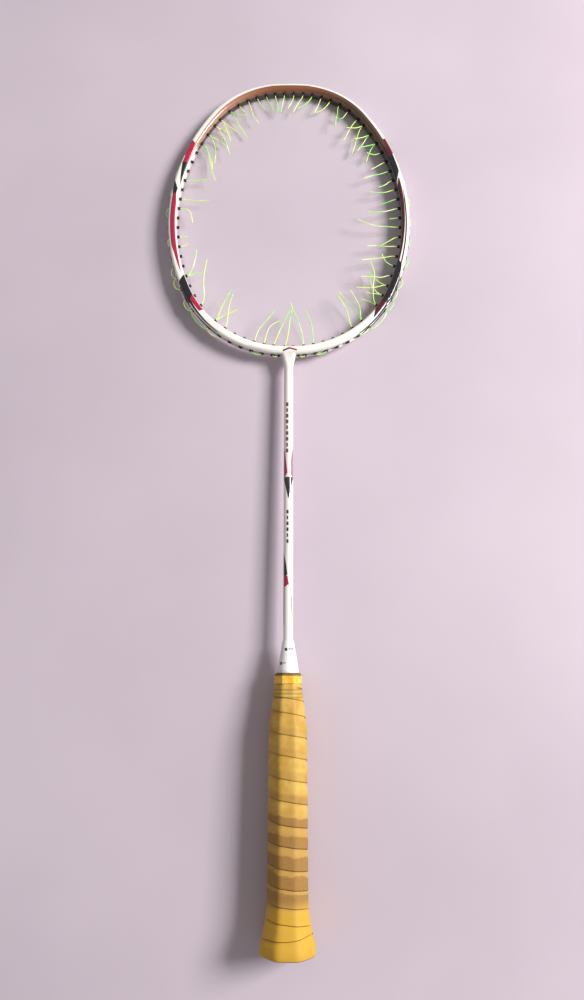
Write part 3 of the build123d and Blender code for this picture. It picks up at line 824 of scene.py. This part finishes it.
def tape_radius(height, across, pitch):
    """Radius to the flats of the tape's outer face. It drops where a later turn lies over it."""
    layers = soft_step(0.66, 0.97, across / pitch) + soft_step(1.66, 1.97, across / pitch)
    low, high, depth = RECESS
    outer = along_table(GRIP_FLATS, height) / 2 - TAPE_STEP * layers - depth * soft_step(low, high, height)
    outer -= EDGE_ROLL * (1 - soft_step(0.0, EDGE_ROLL_WIDTH, across))
    return max(outer, along_table(UNDER_GRIP, height) + TAPE_THICKNESS + UNDER_GAP)


def wind_tape():
    """Mesh of the tape's outer face, with each vertex's place across the tape, and its length in mm."""
    verts = []
    faces = []
    acrosses = []
    length = 0.0
    rows = round((TAPE_END - TAPE_START) * STEPS_PER_TURN)
    for row in range(rows + 1):
        turn = TAPE_START + row / STEPS_PER_TURN
        angle = pi / 2 + 2 * pi * turn
        edge = along_table(SEAMS, turn)
        if turn < TAPE_END - 1:
            pitch = max(along_table(SEAMS, turn + 1) - edge, LEAST_PITCH)
        else:
            pitch = 2 * TAPE_WIDTH  # no turn lies over the last one
        for across in COLUMNS:
            height = min(edge + across, TAPE_TOP - TOP_SQUEEZE * (TAPE_WIDTH - across))
            sharpness = along_table(FLAT_SHARPNESS, height)
            reach = octagon(angle, tape_radius(height, across, pitch), sharpness)
            verts.append((reach * cos(angle) * MM, height * MM, reach * sin(angle) * MM))
            acrosses.append(across)
        if row:
            length += reach * 2 * pi / STEPS_PER_TURN
    width = len(COLUMNS)
    for row in range(rows):
        for column in range(width - 1):
            corner = row * width + column
            faces.append((corner, corner + 1, corner + width + 1, corner + width))
    mesh = bpy.data.meshes.new("overgrip_tape")
    mesh.from_pydata(verts, [], faces)
    mesh.attributes.new("across", "FLOAT", "POINT").data.foreach_set("value", acrosses)
    mesh.shade_smooth()
    return mesh, length


# Heights in mm from the butt, each as (where an effect has its least share, where it has its full share).
DULL_BELOW = (98.0, 73.0)
BRIGHT_BELOW = (36.0, 25.0)
WIDE_BANDS_BELOW = (88.0, 53.0)
WORN_ABOVE = (28.0, 37.0)
WELL_WORN_BELOW = (107.0, 84.0)
WORN_BELOW = (153.0, 138.0)
STRIPES_ABOVE = (161.9, 162.4)
STRIPES_BELOW = (170.1, 169.5)
SEAMS_ABOVE = (3.0, 6.0)
DARK_SEAMS_BELOW = (120.0, 70.0)
DARK_RIM_BELOW = (1.6, 0.9)
DARK_TOP_ABOVE = (176.9, 178.1)
STRIPE_PITCH = 2.6


def overgrip_tape():
    """Yellow tape with a fine grain, striped at the top and brown above each seam where hands wore it."""
    graph = Graph("overgrip_tape", specular=0.3)
    place = graph.position()
    y = graph.split(place)[1]
    across = graph.attribute("across")
    cloud = graph.noise(place, 0.12, 4.0)
    fibre = graph.noise(place, 1.6, 3.0, stretch=(0.4, 1.4, 0.4))

    colour = graph.blend(graph.remap(cloud, 0.35, 0.65), rgb(196, 152, 66), rgb(212, 174, 88))
    colour = graph.blend(graph.remap(y, *DULL_BELOW), colour, rgb(192, 150, 76))
    colour = graph.blend(graph.remap(y, *BRIGHT_BELOW), colour, rgb(212, 166, 58))

    band_width = graph.remap(y, *WIDE_BANDS_BELOW, 5.6, 9.0)
    band_top = graph.sum(band_width, graph.remap(cloud, 0.3, 0.7, -1.0, 1.0))
    band = graph.remap(graph.math("SUBTRACT", band_top, across), -0.6, 0.9)
    worn = graph.product(graph.remap(y, *WORN_ABOVE), graph.remap(y, *WELL_WORN_BELOW, 0.3, 1.0),
                         graph.remap(y, *WORN_BELOW))
    brown = graph.blend(graph.remap(fibre, 0.3, 0.75), rgb(148, 108, 54), rgb(164, 122, 68))
    colour = graph.blend(graph.product(band, worn, 0.85), colour, brown)

    stripe = graph.math("SINE", graph.product(graph.sum(y, -STRIPES_ABOVE[1]), 2 * pi / STRIPE_PITCH))
    stripes = graph.product(graph.remap(stripe, -0.2, 0.5), graph.remap(y, *STRIPES_ABOVE),
                            graph.remap(y, *STRIPES_BELOW))
    colour = graph.blend(graph.product(stripes, 0.6), colour, rgb(140, 122, 52))

    seam = graph.product(graph.remap(across, 0.8, 0.2), graph.remap(y, *SEAMS_ABOVE),
                         graph.remap(y, *DARK_SEAMS_BELOW, 0.4, 0.8))
    colour = graph.blend(seam, colour, rgb(104, 72, 30))
    colour = graph.blend(graph.remap(y, *DARK_RIM_BELOW), colour, rgb(72, 56, 34))
    colour = graph.blend(graph.remap(y, *DARK_TOP_ABOVE), colour, rgb(110, 92, 40))
    graph.set("Base Color", colour)
    graph.set("Roughness", graph.remap(cloud, 0.3, 0.7, 0.5, 0.7))
    graph.bump(graph.sum(graph.product(fibre, 0.5), graph.product(cloud, 0.5)), 0.22)
    return graph


def add_tape():
    """The wound tape in place of the CAD's closed sleeve."""
    mesh, length = wind_tape()
    tape = bpy.data.objects.new("overgrip_tape", mesh)
    bpy.context.scene.collection.objects.link(tape)
    mesh.materials.append(overgrip_tape().material)
    thicken = tape.modifiers.new("thicken", "SOLIDIFY")
    thicken.thickness = TAPE_THICKNESS * MM
    thicken.offset = -1.0
    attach(tape, "root")
    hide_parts("overgrip")


add_tape()
